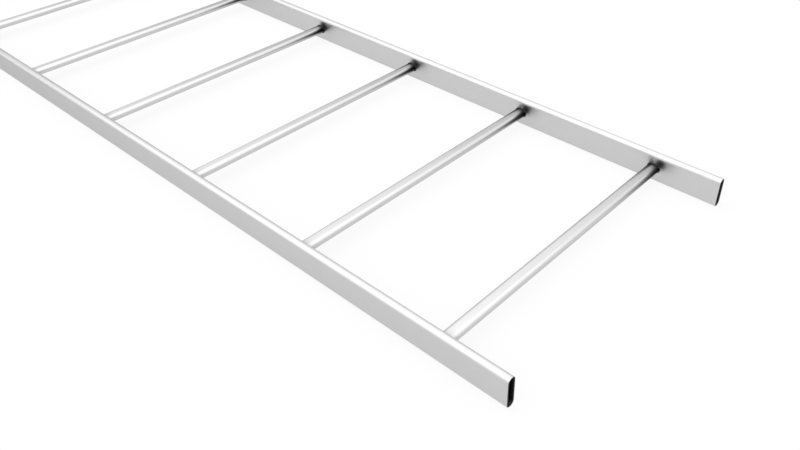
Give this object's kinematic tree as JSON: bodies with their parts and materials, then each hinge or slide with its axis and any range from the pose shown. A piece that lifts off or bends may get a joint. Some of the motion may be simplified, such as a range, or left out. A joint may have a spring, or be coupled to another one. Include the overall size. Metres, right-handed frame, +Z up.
{
  "type": "cable ladder section",
  "caption": "Straight cable ladder section: parallel hollow flat-oval side rails joined by evenly spaced flat-oval rungs welded between them.",
  "frame": {"origin": "middle of the ladder's footprint, on the plane that its rails lie on", "axes": "+X along the rails towards the front end, +Y across to the left rail, +Z up"},
  "size_m": [3, 0.6, 0.056],
  "materials": {
    "rail_metal": "satin mill-finish extrusion, fine lengthwise draw lines",
    "rung_metal": "bright satin tube, darkened beside the welds",
    "weld_metal": "matt rippled weld bead, dark with heat"
  },
  "bodies": {
    "root": {"side_rail_left": "rail_metal", "side_rail_right": "rail_metal", "rung_01": "rung_metal", "rung_02": "rung_metal", "rung_03": "rung_metal", "rung_04": "rung_metal", "rung_05": "rung_metal", "rung_06": "rung_metal", "rung_07": "rung_metal", "rung_08": "rung_metal", "rung_09": "rung_metal", "rung_10": "rung_metal", "weld_01_left": "weld_metal", "weld_01_right": "weld_metal", "weld_02_left": "weld_metal", "weld_02_right": "weld_metal", "weld_03_left": "weld_metal", "weld_03_right": "weld_metal", "weld_04_left": "weld_metal", "weld_04_right": "weld_metal", "weld_05_left": "weld_metal", "weld_05_right": "weld_metal", "weld_06_left": "weld_metal", "weld_06_right": "weld_metal", "weld_07_left": "weld_metal", "weld_07_right": "weld_metal", "weld_08_left": "weld_metal", "weld_08_right": "weld_metal", "weld_09_left": "weld_metal", "weld_09_right": "weld_metal", "weld_10_left": "weld_metal", "weld_10_right": "weld_metal"}
  },
  "joints": []
}
